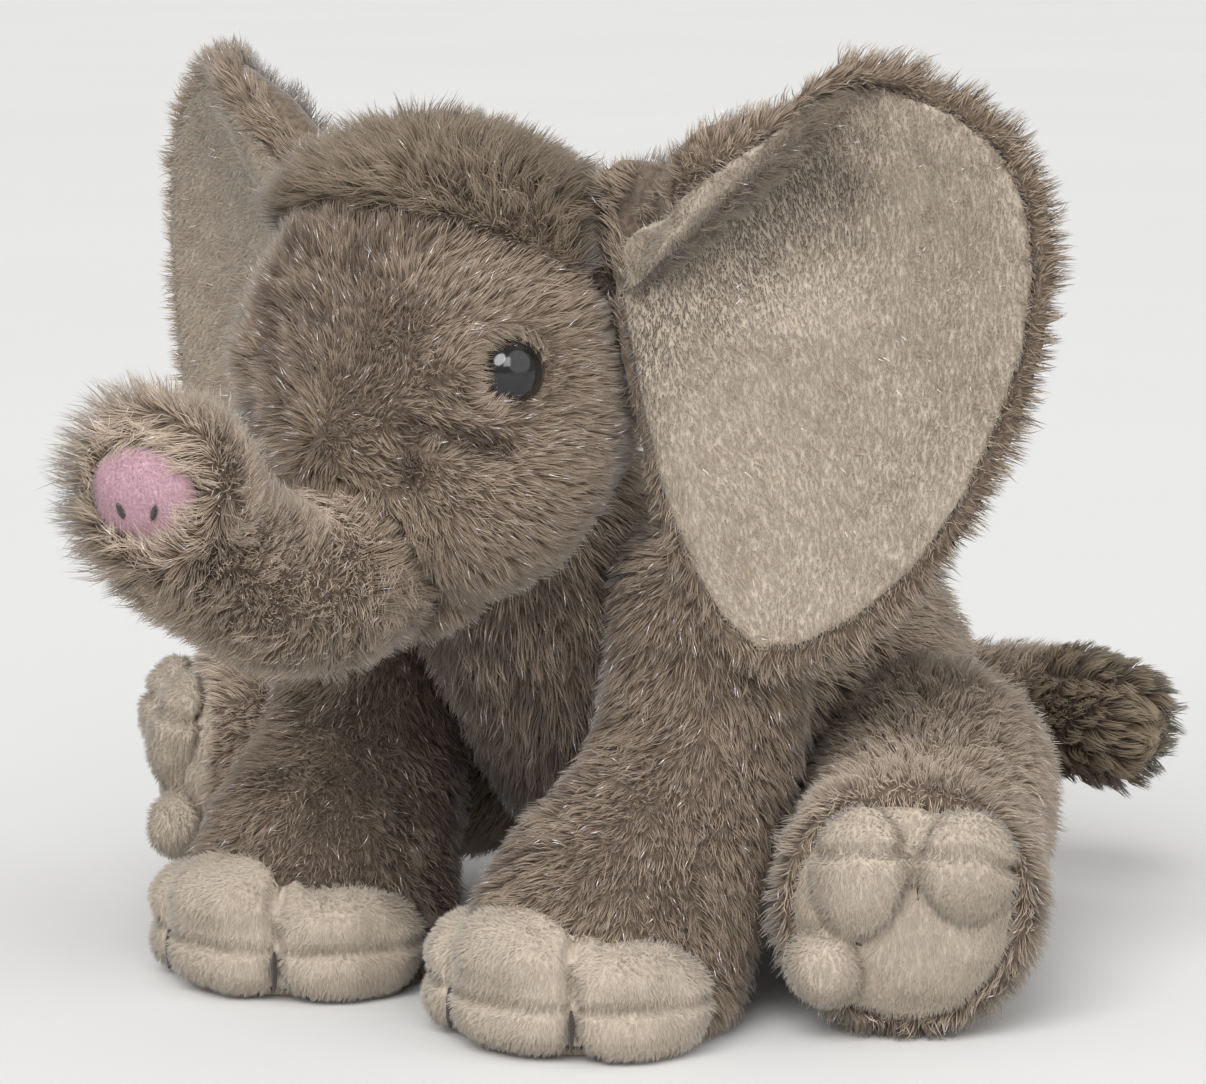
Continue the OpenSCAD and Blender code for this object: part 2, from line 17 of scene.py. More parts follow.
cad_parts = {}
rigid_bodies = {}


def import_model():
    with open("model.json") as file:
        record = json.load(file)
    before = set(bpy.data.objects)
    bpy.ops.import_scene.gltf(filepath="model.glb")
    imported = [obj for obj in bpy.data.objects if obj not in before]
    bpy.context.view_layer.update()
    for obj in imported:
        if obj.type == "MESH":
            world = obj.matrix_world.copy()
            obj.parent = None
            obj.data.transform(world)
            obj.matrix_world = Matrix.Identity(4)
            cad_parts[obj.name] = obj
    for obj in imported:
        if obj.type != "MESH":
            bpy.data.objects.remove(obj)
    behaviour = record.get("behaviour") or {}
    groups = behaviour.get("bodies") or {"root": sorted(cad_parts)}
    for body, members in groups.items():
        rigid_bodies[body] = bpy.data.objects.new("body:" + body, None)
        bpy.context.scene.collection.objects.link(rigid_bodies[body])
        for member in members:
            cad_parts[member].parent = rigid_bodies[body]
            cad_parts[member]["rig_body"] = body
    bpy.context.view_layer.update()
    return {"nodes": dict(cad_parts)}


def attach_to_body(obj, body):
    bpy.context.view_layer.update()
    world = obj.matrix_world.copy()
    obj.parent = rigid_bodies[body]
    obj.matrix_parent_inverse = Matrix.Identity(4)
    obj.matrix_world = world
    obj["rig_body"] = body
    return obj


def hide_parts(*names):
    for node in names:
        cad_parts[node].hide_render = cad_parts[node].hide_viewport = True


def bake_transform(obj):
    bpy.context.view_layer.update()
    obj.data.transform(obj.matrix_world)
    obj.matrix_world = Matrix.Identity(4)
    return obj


MM = 0.001
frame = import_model()
scene = bpy.context.scene
NODES = frame["nodes"]

# Camera ------------------------------------------------------------------------------------------

AIM = Vector((0, 12.4, 92.8)) * MM
BACK = Vector((0.6357, -0.7576, 0.1478)).normalized()
DISTANCE = 1100 * MM
SENSOR_WIDTH = 36
FOCAL_LENGTH = 151.04

camera = bpy.data.objects.new("camera", bpy.data.cameras.new("camera"))
scene.collection.objects.link(camera)
camera.data.sensor_width = SENSOR_WIDTH
camera.data.lens = FOCAL_LENGTH
camera.data.clip_start = 0.05
camera.data.clip_end = 60
camera.location = AIM + BACK * DISTANCE
camera.rotation_euler = (-BACK).to_track_quat("-Z", "Y").to_euler()
scene.camera = camera

# Plain numbers and fields ------------------------------------------------------------------------


def unit(v):
    """Vectors scaled to length one."""
    return v / np.maximum(np.linalg.norm(v, axis=-1, keepdims=True), 1e-9)


def ripple(p, size, seed, count=9):
    """A smooth random height for each point, about -1 to 1, with bumps about size across."""
    rng = np.random.default_rng(seed)
    k = unit(rng.normal(size=(count, 3))) * (2 * math.pi / size) * rng.uniform(0.55, 1.5, (count, 1))
    return np.sin(p @ k.T + rng.uniform(0, 2 * math.pi, count)).sum(1) / math.sqrt(count / 2) / 1.6


def step(a, b, x):
    """0 before a, 1 after b, and smooth between them."""
    t = np.clip((x - a) / (b - a), 0, 1)
    return t * t * (3 - 2 * t)


def within(p, middle, edge, core=0):
    """1 nearer to a spot than core, 0 past edge, and smooth between them."""
    return step(edge, core, np.linalg.norm(p - np.array(middle, float), axis=1))


def near_line(p, line):
    """Distance from each point to a chain of points, and the chain's direction there."""
    best = np.full(len(p), 1e9)
    way = np.zeros_like(p)
    for a, b in zip(line[:-1], line[1:]):
        a, b = np.array(a, float), np.array(b, float)
        t = np.clip((p - a) @ (b - a) / ((b - a) @ (b - a)), 0, 1)
        d = np.linalg.norm(p - a - t[:, None] * (b - a), axis=1)
        closer = d < best
        best[closer] = d[closer]
        way[closer] = unit(b - a)
    return best, way


# Meshes ------------------------------------------------------------------------------------------


def coords(mesh):
    """A mesh's points in millimetres."""
    co = np.empty(len(mesh.vertices) * 3, np.float32)
    mesh.vertices.foreach_get("co", co)
    return co.reshape(-1, 3).astype(float) / MM


def set_coords(mesh, co):
    mesh.vertices.foreach_set("co", (co * MM).astype(np.float32).ravel())
    mesh.update()


def normals(mesh):
    no = np.empty(len(mesh.vertices) * 3, np.float32)
    mesh.vertices.foreach_get("normal", no)
    return no.reshape(-1, 3).astype(float)


def triangles(mesh):
    mesh.calc_loop_triangles()
    tri = np.empty(len(mesh.loop_triangles) * 3, np.int32)
    mesh.loop_triangles.foreach_get("vertices", tri)
    return tri.reshape(-1, 3)


def add_object(name, mesh):
    obj = bpy.data.objects.new(name, mesh)
    scene.collection.objects.link(obj)
    return obj


def mesh_from(name, verts, faces):
    """A smooth-shaded object from points in millimetres and faces."""
    mesh = bpy.data.meshes.new(name)
    mesh.from_pydata((np.asarray(verts, float) * MM).tolist(), [], faces)
    mesh.polygons.foreach_set("use_smooth", [True] * len(mesh.polygons))
    mesh.update()
    return add_object(name, mesh)


def apply_modifiers(obj):
    graph = bpy.context.evaluated_depsgraph_get()
    mesh = bpy.data.meshes.new_from_object(obj.evaluated_get(graph), depsgraph=graph)
    obj.modifiers.clear()
    old, obj.data = obj.data, mesh
    bpy.data.meshes.remove(old)
    mesh.name = obj.name


def largest_part(obj):
    """Keeps only the connected part of a mesh that has the widest box, which is its outside."""
    mesh = obj.data
    edges = np.empty(len(mesh.edges) * 2, np.int32)
    mesh.edges.foreach_get("vertices", edges)
    edges = edges.reshape(-1, 2)
    label = np.arange(len(mesh.vertices))
    while True:
        low = np.minimum(label[edges[:, 0]], label[edges[:, 1]])
        new = label.copy()
        np.minimum.at(new, edges[:, 0], low)
        np.minimum.at(new, edges[:, 1], low)
        new = new[new]
        if (new == label).all():
            break
        label = new
    names = np.unique(label)
    if len(names) == 1:
        return
    co = coords(mesh)
    spans = [np.linalg.norm(np.ptp(co[label == k], axis=0)) for k in names]
    keep = label == names[int(np.argmax(spans))]
    renumber = np.cumsum(keep) - 1
    faces = [[int(renumber[v]) for v in f.vertices] for f in mesh.polygons if keep[f.vertices[0]]]
    fresh = bpy.data.meshes.new(obj.name)
    fresh.from_pydata((co[keep] * MM).tolist(), [], faces)
    fresh.polygons.foreach_set("use_smooth", [True] * len(fresh.polygons))
    fresh.update()
    obj.data = fresh
    bpy.data.meshes.remove(mesh)


def joined(name, nodes, swell=None):
    """One object with copies of the CAD nodes' meshes. swell moves some nodes' points outward."""
    verts, faces, start = [], [], 0
    for node in nodes:
        mesh = NODES[node].data
        co = coords(mesh)
        if swell and node in swell:
            co = co + normals(mesh) * swell[node]
        verts.append(co)
        faces += (triangles(mesh) + start).tolist()
        start += len(co)
    return mesh_from(name, np.concatenate(verts), faces)


def remeshed(obj, voxel, relax, whole=True):
    """Voxel remesh and relax, which takes the facets off. whole keeps only the outside."""
    m = obj.modifiers.new("remesh", "REMESH")
    m.mode = "VOXEL"
    m.voxel_size = voxel * MM
    m.use_smooth_shade = True
    apply_modifiers(obj)
    if whole:
        largest_part(obj)
    if relax:
        m = obj.modifiers.new("relax", "SMOOTH")
        m.factor = 0.5
        m.iterations = relax
        apply_modifiers(obj)


def shape(obj, move):
    """Moves each point along its normal by move(points, normals), in millimetres."""
    co, no = coords(obj.data), normals(obj.data)
    set_coords(obj.data, co + no * move(co, no)[:, None])


def grounded(obj, low=0.25):
    """Flattens what would go through the floor."""
    co = coords(obj.data)
    co[:, 2] = np.maximum(co[:, 2], low)
    set_coords(obj.data, co)


def puffed(obj, cap, frames=20, pressure=4.0, enlarge=12.0):
    """Blows a soft piece up with cloth pressure, so that it crowns between its seams.

    The cloth solver is made for furniture sizes, so a copy that is enlarge times larger is simulated.
    """
    rest = coords(obj.data)
    middle = rest.mean(0)
    work = add_object(obj.name + "_cloth", obj.data.copy())
    set_coords(work.data, (rest - middle) * enlarge)
    cloth = work.modifiers.new("cloth", "CLOTH")
    cloth.settings.use_pressure = True
    cloth.settings.uniform_pressure_force = pressure
    cloth.settings.effector_weights.gravity = 0
    cloth.settings.quality = 4
    cloth.point_cache.frame_start = 1
    cloth.point_cache.frame_end = frames
    for f in range(1, frames + 1):
        scene.frame_set(f)
    graph = bpy.context.evaluated_depsgraph_get()
    done = coords(work.evaluated_get(graph).data) / enlarge + middle
    scene.frame_set(1)
    bpy.data.objects.remove(work)
    moved = done - rest
    far = np.linalg.norm(moved, axis=1)
    set_coords(obj.data, rest + moved * np.minimum(1, cap / np.maximum(far, 1e-6))[:, None])


# Materials ---------------------------------------------------------------------------------------


class Paint:
    """A Principled material and short ways to add nodes to it."""

    def __init__(self, name, **values):
        self.mat = bpy.data.materials.new(name)
        self.mat.use_nodes = True
        self.tree = self.mat.node_tree
        self.out = self.tree.nodes["Principled BSDF"]
        for key, value in values.items():
            self.out.inputs[key.replace("_", " ")].default_value = value

    def add(self, kind, links=None, **settings):
        node = self.tree.nodes.new("ShaderNode" + kind)
        for key, value in settings.items():
            setattr(node, key, value)
        for key, value in (links or {}).items():
            if isinstance(value, bpy.types.NodeSocket):
                self.tree.links.new(value, node.inputs[key])
            else:
                node.inputs[key].default_value = value
        return node

    def ramp(self, source, stops):
        node = self.add("ValToRGB", {"Fac": source})
        ramp = node.color_ramp
        while len(ramp.elements) < len(stops):
            ramp.elements.new(0.5)
        for e, (at, colour) in zip(ramp.elements, stops):
            e.position = at
            e.color = (*colour, 1)
        return node.outputs["Color"]

    def place(self, scale=(1, 1, 1)):
        spot = self.add("TexCoord").outputs["Object"]
        return self.add("Mapping", {"Vector": spot, "Scale": scale}).outputs["Vector"]

    def noise(self, where, scale, detail=3.0, rough=0.5):
        links = {"Vector": where, "Scale": scale, "Detail": detail, "Roughness": rough}
        return self.add("TexNoise", links).outputs["Fac"]

    def mix(self, a, b, factor, kind="MIX"):
        node = self.add("Mix", data_type="RGBA", blend_type=kind)
        for socket, value in zip((node.inputs[0], node.inputs[6], node.inputs[7]), (factor, a, b)):
            if isinstance(value, bpy.types.NodeSocket):
                self.tree.links.new(value, socket)
            elif isinstance(value, tuple):
                socket.default_value = (*value, 1)
            else:
                socket.default_value = value
        return node.outputs[2]

    def colour(self, socket):
        self.tree.links.new(socket, self.out.inputs["Base Color"])
        return self

    def bump(self, height, strength, distance):
        links = {"Height": height, "Strength": strength, "Distance": distance * MM}
        node = self.add("Bump", links)
        self.tree.links.new(node.outputs["Normal"], self.out.inputs["Normal"])
        return self


# How a strand's tone picks its colour: plain hairs from dark to pale, and past them the hairs with a
# painted glint
TONE_LOW, TONE_MIDDLE, TONE_HIGH = 0.01, 0.55, 0.93
GLINT_FROM, GLINT_TONE = 0.955, 0.985
# How far up a glint hair its painted glint starts, as a share of its length
GLINT_START = 0.6
# The darkest columns are reached mostly where pile gets painted shade by place; random tones stay near the
# middle
PILE_SHADES = [(0, (0.34, 0.315, 0.32)), (0.13, (0.56, 0.54, 0.54)), (0.3, (0.82, 0.81, 0.81)),
               (0.62, (1, 1, 1)), (TONE_HIGH, (1.0, 0.985, 1.0))]


def pile_material(name, root, low, high, tip, glint=None, sheen=0.25, rough=0.62, spread=1.0):
    """Hair colour from the strand's own map: across it, one hair to the next; up it, root to tip."""
    p = Paint(name, Roughness=rough, Sheen_Weight=sheen, Sheen_Roughness=0.4, Specular_IOR_Level=0.25)
    spot = p.add("UVMap", uv_map="OFBake").outputs["UV"]
    part = p.add("SeparateXYZ", {"Vector": spot})
    along = p.ramp(part.outputs["Y"], [(0, root), (0.35, low), (0.75, high), (1, tip)])
    shades = [(at, tuple(1 - spread * (1 - c) for c in grey)) for at, grey in PILE_SHADES]
    colour = p.mix(along, p.ramp(part.outputs["X"], shades), 1.0, "MULTIPLY")
    # Painted glints: pale colour near the tips of a few hairs, in place of sparkles of light on the fibres
    if glint:
        painted_glint_hair = p.add("Math", {0: part.outputs["X"], 1: GLINT_FROM}, operation="GREATER_THAN")
        end = p.add("Math", {0: part.outputs["Y"], 1: GLINT_START}, operation="GREATER_THAN")
        both = p.add("Math", {0: painted_glint_hair.outputs["Value"], 1: end.outputs["Value"]}, operation="MULTIPLY")
        colour = p.mix(colour, glint, both.outputs["Value"])
    return p.colour(colour).mat


def cloth_material(name, dark, pale, grain, bump, sheen=0.3, rough=0.8, stretch=(1, 1, 1)):
    """Backing cloth or short nap: blotches and fine streaks, with a nap in the normals."""
    p = Paint(name, Roughness=rough, Sheen_Weight=sheen, Sheen_Roughness=0.5, Specular_IOR_Level=0.25)
    where = p.place(stretch)
    fine = p.noise(where, grain, 4.0, 0.6)
    broad = p.noise(p.place(), 45.0, 2.0)
    colour = p.ramp(fine, [(0.3, dark), (0.7, pale)])
    shade = p.ramp(broad, [(0.3, (0.86, 0.86, 0.86)), (0.7, (1, 1, 1))])
    return p.colour(p.mix(colour, shade, 1.0, "MULTIPLY")).bump(fine, 0.6, bump).mat


TAUPE = pile_material(
    "taupe_pile", (0.07, 0.05, 0.036), (0.26, 0.197, 0.143), (0.46, 0.365, 0.277), (0.62, 0.51, 0.405),
    glint=(0.95, 0.92, 0.98))
# Painted light: the same taupe pile made lighter, for the torso, trunk, hind legs and tail
TAUPE_PAINTED_LIGHTER = pile_material(
    "pale_taupe_pile", (0.10, 0.074, 0.054), (0.39, 0.303, 0.228), (0.635, 0.518, 0.406),
    (0.77, 0.65, 0.525), glint=(0.95, 0.92, 0.98))
OLIVE = pile_material(
    "olive_pile", (0.045, 0.032, 0.02), (0.16, 0.12, 0.083), (0.31, 0.243, 0.175), (0.46, 0.375, 0.285),
    glint=(0.8, 0.75, 0.66))
TUFT = pile_material(
    "tuft_pile", (0.04, 0.028, 0.018), (0.15, 0.112, 0.075), (0.30, 0.235, 0.165), (0.56, 0.46, 0.31))
BEIGE = pile_material(
    "beige_nap", (0.36, 0.295, 0.225), (0.46, 0.385, 0.305), (0.57, 0.49, 0.4), (0.66, 0.585, 0.495),
    sheen=0.35, spread=0.55)
# Painted shade: the beige velboa nap made darker, for the ear linings
EAR_NAP_PAINTED_DARKER = pile_material(
    "ear_nap", (0.27, 0.22, 0.165), (0.36, 0.30, 0.235), (0.455, 0.39, 0.315), (0.545, 0.48, 0.4),
    sheen=0.35, spread=1.0)
# Painted light: the beige velboa nap made lighter, for the front toes
TOE_NAP_PAINTED_LIGHTER = pile_material(
    "toe_nap", (0.42, 0.345, 0.265), (0.54, 0.455, 0.365), (0.66, 0.575, 0.475), (0.74, 0.665, 0.57),
    sheen=0.35, spread=0.6)
PINK = pile_material(
    "pink_nap", (0.38, 0.21, 0.26), (0.52, 0.32, 0.375), (0.62, 0.41, 0.465), (0.70, 0.52, 0.57), sheen=0.4)

TAUPE_CLOTH = cloth_material("taupe_cloth", (0.08, 0.058, 0.042), (0.22, 0.165, 0.12), 900.0, 0.5)
BEIGE_CLOTH = cloth_material("beige_cloth", (0.40, 0.335, 0.265), (0.58, 0.50, 0.405), 1100.0, 0.35,
                             stretch=(1, 1, 0.35))
PINK_CLOTH = cloth_material("pink_cloth", (0.42, 0.24, 0.29), (0.62, 0.41, 0.465), 1300.0, 0.3)
FILL = cloth_material("white_fibre", (0.62, 0.62, 0.60), (0.92, 0.92, 0.90), 500.0, 0.8, sheen=0.1)
POUCH = cloth_material("pouch_weave", (0.34, 0.30, 0.25), (0.60, 0.55, 0.48), 2200.0, 0.2)


def plastic(name, colour, rough, coat):
    p = Paint(name, Roughness=rough, Coat_Weight=coat, Coat_Roughness=0.03, Specular_IOR_Level=0.5)
    speck = p.noise(p.place(), 700.0, 2.0)
    pale = tuple(min(1.0, c * 1.25 + 0.004) for c in colour)
    return p.colour(p.ramp(speck, [(0.35, colour), (0.65, pale)])).bump(speck, 0.08, 0.02).mat


BLACK = plastic("eye_gloss", (0.004, 0.0035, 0.004), 0.12, 0.3)
WHITE = plastic("washer_plastic", (0.72, 0.72, 0.69), 0.42, 0.0)


def thread_material():
    p = Paint("dark_twist", Roughness=0.7, Sheen_Weight=0.2)
    turns = {"Vector": p.place(), "Scale": 900.0, "Distortion": 1.5}
    twist = p.add("TexWave", turns, bands_direction="DIAGONAL")
    colour = p.ramp(twist.outputs["Fac"], [(0, (0.012, 0.009, 0.008)), (1, (0.07, 0.055, 0.048))])
    return p.colour(colour).bump(twist.outputs["Fac"], 0.8, 0.15).mat


THREAD = thread_material()


def dress(obj, material):
    obj.data.materials.clear()
    obj.data.materials.append(material)


# How pieces ride ---------------------------------------------------------------------------------

# A bend for each limb, between its neighbour and itself: neighbour, start and end of the bend. Only the
# limbs' names are read, and nothing bends
BENDS = {
    "trunk": ("head", (0, -56, 106), (0, -84, 100)),
    "left_ear": ("head", (40, -31, 147), (54, -24, 147)),
    "right_ear": ("head", (-40, -31, 142), (-54, -24, 142)),
    "left_front_leg": ("torso", (46, -8, 96), (46, -14, 62)),
    "right_front_leg": ("torso", (-46, -8, 96), (-46, -14, 62)),
    "left_hind_leg": ("torso", (50, 60, 41), (76, 30, 35)),
    "right_hind_leg": ("torso", (-50, 60, 41), (-76, 30, 35)),
    "tail": ("torso", (3, 104, 47), (22, 119, 46)),
}


def attach(obj, body, bends=False):
    """Rides on a body; with bends, where the body is listed in BENDS, its transform is applied and it is
    left without a parent.
    """
    if bends and body in BENDS:
        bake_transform(obj)
    else:
        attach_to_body(obj, body)


# Pile --------------------------------------------------------------------------------------------


def build_solids():
    """All CAD solids in one tree of faces, in metres."""
    verts, faces, start = [], [], 0
    for node in NODES.values():
        co = coords(node.data) * MM
        verts += co.tolist()
        faces += (triangles(node.data) + start).tolist()
        start += len(co)
    return BVHTree.FromPolygons(verts, faces)


SOLIDS = build_solids()


def open_air(p, n, lift=3.0, reach=14.0):
    """Which points are on the outside of the toy, and how far out it is clear there."""
    keep = np.zeros(len(p), bool)
    room = np.full(len(p), reach)
    for i, (a, b) in enumerate(zip(((p + n * lift) * MM).tolist(), n.tolist())):
        hit, face_normal, _, far = SOLIDS.ray_cast(a, b)
        if hit is None:
            keep[i] = True
        elif face_normal.dot(Vector(b)) < 0:
            keep[i] = True
            room[i] = min(reach, far / MM + lift)
    return keep, room


def scatter(obj, per_cm2, rng):
    """Evenly random points on a mesh, with their normals."""
    co, no, tri = coords(obj.data), normals(obj.data), triangles(obj.data)
    a, b, c = co[tri[:, 0]], co[tri[:, 1]], co[tri[:, 2]]
    area = np.cumsum(np.linalg.norm(np.cross(b - a, c - a), axis=1) / 2)
    count = int(area[-1] * per_cm2 / 100)
    pick = np.searchsorted(area, (np.arange(count) + rng.random(count)) / count * area[-1])
    pick = np.minimum(pick, len(tri) - 1)
    s = np.sqrt(rng.random(count))[:, None]
    t = rng.random(count)[:, None]
    w = (1 - s, s * (1 - t), s * t)
    p = sum(k * co[tri[pick, i]] for i, k in enumerate(w))
    n = unit(sum(k * no[tri[pick, i]] for i, k in enumerate(w)))
    return p, n


# The colour map's columns; a strand's map spans this share of a column to either side of its middle
COLUMNS = 64
HALF_COLUMN = 0.34
# A bent strand's width at its bend, as a share of the width at its root
BEND_WIDTH = 0.78
# Triangles of a bent and of a straight strand, and the most that one piece of pile may have
BENT_TRIANGLES, STRAIGHT_TRIANGLES = 10, 4
PIECE_MOST = 190000


def strands(name, root, mid, tip, radius, out, tone):
    """One mesh of closed three-sided spikes. With mid, each one bends once. tone picks its colour."""
    count = len(root)
    way = unit(tip - root)
    side = unit(np.cross(way, np.where(np.abs(way[:, 2:3]) < 0.9, [[0, 0, 1.0]], [[1.0, 0, 0]])))
    third = np.cross(way, side)
    levels = [(root, 1.0)] if mid is None else [(root, 1.0), (mid, BEND_WIDTH)]
    points, shading = [], []
    for centre, width in levels:
        for k in range(3):
            a = 2 * math.pi * k / 3
            ring = side * math.cos(a) + third * math.sin(a)
            points.append(centre + ring * (radius * width)[:, None])
            shading.append(unit(out + ring * 0.55 + way * 0.15))
    points.append(tip)
    shading.append(unit(out + way * 0.4))
    per = len(points)
    co = np.stack(points, 1).reshape(-1, 3)
    no = np.stack(shading, 1).reshape(-1, 3)
    last = per - 1
    top = last - 3
    u_of = np.array([-HALF_COLUMN, 0.0, HALF_COLUMN] * len(levels) + [0.0]) / COLUMNS
    v_of = np.array([0.02] * 3 + ([0.5] * 3 if mid is not None else []) + [0.98])
    faces = [(2, 1, 0)]
    if mid is not None:
        faces += [(0, 1, 4, 3), (1, 2, 5, 4), (2, 0, 3, 5)]
    faces += [(top, top + 1, last), (top + 1, top + 2, last), (top + 2, top, last)]
    corner = np.array([i for f in faces for i in f])
    sizes = np.array([len(f) for f in faces])
    loops = (corner[None, :] + np.arange(count)[:, None] * per).ravel()
    starts = np.concatenate([[0], np.cumsum(np.tile(sizes, count))[:-1]])
    column = (np.minimum(np.floor(tone * COLUMNS), COLUMNS - 1) + 0.5) / COLUMNS
    u = (column[:, None] + u_of[corner][None, :]).ravel()
    v = np.tile(v_of[corner], count)
    base_loops = np.tile(np.arange(len(corner)) < 3, count)
    v[base_loops] += np.tile([0.0, 0.012, 0.006], count)

    mesh = bpy.data.meshes.new(name)
    mesh.vertices.add(len(co))
    mesh.vertices.foreach_set("co", (co * MM).astype(np.float32).ravel())
    mesh.loops.add(len(loops))
    mesh.loops.foreach_set("vertex_index", loops.astype(np.int32))
    mesh.polygons.add(len(starts))
    mesh.polygons.foreach_set("loop_start", starts.astype(np.int32))
    mesh.update(calc_edges=True)
    mesh.polygons.foreach_set("use_smooth", np.ones(len(starts), bool))
    layer = mesh.uv_layers.new(name="OFBake")
    layer.data.foreach_set("uv", np.stack([u, v], 1).astype(np.float32).ravel())
    mesh.normals_split_custom_set_from_vertices(no.tolist())
    return add_object(name, mesh)


def grow(name, base, body, slot, material, per_cm2, length, width, flow, lean=0.9, seed=1, lock=12,
         gather=0.5, stray=0.18, bend=True, where=None, floor=0.3, wander=0.3, mottle=0.14, glints=0.01,
         bends=True, lift=3.0, sink=0.3, tone_of=None):
    """Pile on a skin. flow gives the way it is brushed, and lock how many hairs share a lock.

    length may be a number or a function of the roots and normals; where picks the roots to use.
    The last argument, a function of place, darkens or lightens the pile there, as painted shade. More than
    PIECE_MOST triangles are made as several pieces.
    """
    rng = np.random.default_rng(seed)
    p, n = scatter(base, per_cm2, rng)
    if where is not None:
        ok = where(p, n)
        p, n = p[ok], n[ok]
    keep, room = open_air(p, n, lift)
    p, n, room = p[keep], n[keep], room[keep]
    count = len(p)
    t = flow(p)
    t = unit(t - (t * n).sum(1, keepdims=True) * n)
    side = np.cross(n, t)
    turn = wander * (ripple(p, 13, seed + 1) + 0.6 * ripple(p, 5, seed + 2))
    tilt = lean * (1 + 0.3 * ripple(p, 9, seed + 3))
    way = unit(n + t * tilt[:, None] + side * turn[:, None] + rng.normal(0, stray, (count, 3)))
    size = length(p, n) if callable(length) else np.full(count, float(length))
    size = size * (1 + 0.1 * ripple(p, 7, seed + 4) + rng.normal(0, 0.1, count))
    size = np.clip(size, 0.5, np.maximum(1.2, room * 0.95))
    tip = p + way * size[:, None]
    shade = np.zeros(count)
    if lock > 1:
        heads = rng.permutation(count)[: max(1, count // lock)]
        tree = KDTree(len(heads))
        for i, q in enumerate(p[heads].tolist()):
            tree.insert(q, i)
        tree.balance()
        mine = np.array([tree.find(q)[1] for q in p.tolist()])
        lock_way = unit(way[heads] + rng.normal(0, 0.14, (len(heads), 3)))
        lock_tip = p[heads] + lock_way * (size[heads] * rng.uniform(0.92, 1.1, len(heads)))[:, None]
        pull = gather * rng.uniform(0.6, 1.2, count)[:, None]
        tip = tip * (1 - pull) + lock_tip[mine] * pull
        shade = rng.normal(0, 0.06, len(heads))[mine]
    mid = None
    if bend:
        reach = tip - p
        mid = p + reach * 0.5 + n * (np.linalg.norm(reach, axis=1) * 0.13)[:, None]
    root = p - n * sink
    for q in (root, mid, tip):
        if q is not None:
            q[:, 2] = np.maximum(q[:, 2], floor + rng.random(count) * 0.5)
    tone = TONE_MIDDLE + mottle * ripple(p, 15, seed + 5) + shade + rng.normal(0, 0.1, count)
    # Painted shade: the pile is made darker by place, where shade falls
    if tone_of is not None:
        tone = tone + tone_of(p, n)
    tone = np.clip(tone, TONE_LOW, TONE_HIGH)
    # Painted glints: a few hairs get the pale glint colour near their tips
    tone[rng.random(count) < glints] = GLINT_TONE
    radius = width / 2 * rng.uniform(0.8, 1.2, count)
    parts = math.ceil(count * (BENT_TRIANGLES if bend else STRAIGHT_TRIANGLES) / PIECE_MOST)
    for k in range(parts):
        a, b = count * k // parts, count * (k + 1) // parts
        label = name if parts == 1 else f"{name}_{k + 1}"
        m = None if mid is None else mid[a:b]
        obj = strands(label, root[a:b], m, tip[a:b], radius[a:b], n[a:b], tone[a:b])
        dress(obj, material)
        attach(obj, body, bends)


def coat(name, base, body, slot, material, flow, length, dense, guard, width=0.26, seed=1, glints=0.012,
         **more):
    """Long pile: a dense layer of fine hairs, and above it some longer ones that curve."""
    def shorter(p, n):
        return 0.82 * (length(p, n) if callable(length) else length)
    grow(name + "_pile", base, body, slot, material, guard, length, width * 1.1, flow, seed=seed, lock=7,
         glints=glints * 3, **more)
    grow(name + "_underpile", base, body, slot, material, dense, shorter, width, flow, seed=seed + 500,
         lock=14, bend=False, glints=glints, **more)


def brushed(*parts):
    """A constant brushing direction."""
    d = unit(np.array(parts, float))
    return lambda p: np.tile(d, (len(p), 1))


def along(line, droop=(0, 0, 0)):
    """Brushed along a limb's centre line, and turned a little by droop."""
    return lambda p: near_line(p, line)[1] + np.array(droop)


def away(*centre):
    """Brushed away from a point."""
    c = np.array(centre, float)
    return lambda p: unit(p - c)


# Skins -------------------------------------------------------------------------------------------


def skin(name, nodes, hidden, material, voxel=1.5, relax=26, inset=0.9, lumps=0.45, seed=0,
         sculpt=None, ground=False, whole=True, puff=0, close=0):
    """The cloth of a plush part: its CAD solids, and what they hide, as one closed form without facets.

    inset leaves room for the pile under the CAD's surface, and lumps is the height of its unevenness.
    close fills grooves that are narrower than twice its value, by swelling and shrinking the form.
    """
    obj = joined(name, [*nodes, *hidden], {h: 1.2 for h in hidden})
    if close:
        remeshed(obj, voxel, 2, whole)
        shape(obj, lambda co, no: np.full(len(co), float(close)))
    remeshed(obj, voxel, relax, whole)
    if close:
        shape(obj, lambda co, no: np.full(len(co), -float(close)))
    if puff:
        puffed(obj, cap=puff)
        m = obj.modifiers.new("finer", "SUBSURF")
        m.levels = 1
        apply_modifiers(obj)

    def move(co, no):
        d = -inset + lumps * (0.7 * ripple(co, 26, seed + 40) + 0.4 * ripple(co, 11, seed + 41))
        return d + (sculpt(co, no) if sculpt else 0)

    shape(obj, move)
    if ground:
        grounded(obj)
    dress(obj, material)
    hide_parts(*nodes)
    return obj


# Pieces, body by body ----------------------------------------------------------------------------

SIDES = ("left", "right")
SIGN = {"left": 1, "right": -1}


def mirror(line, side):
    """The left side's points, on either side."""
    return [(SIGN[side] * x, y, z) for x, y, z in line]


# Torso

torso = skin("torso_cloth", ["torso_skin"], ["torso_stuffing", "seat_pellet_pouch"], TAUPE_CLOTH,
             seed=1, ground=True)


def belly_painted_shade(p, n):
    """Painted shade: the belly's pile is darker where the belly hangs in the legs' shade."""
    return -0.5 * step(34, 0, p[:, 1]) * step(108, 90, p[:, 2])


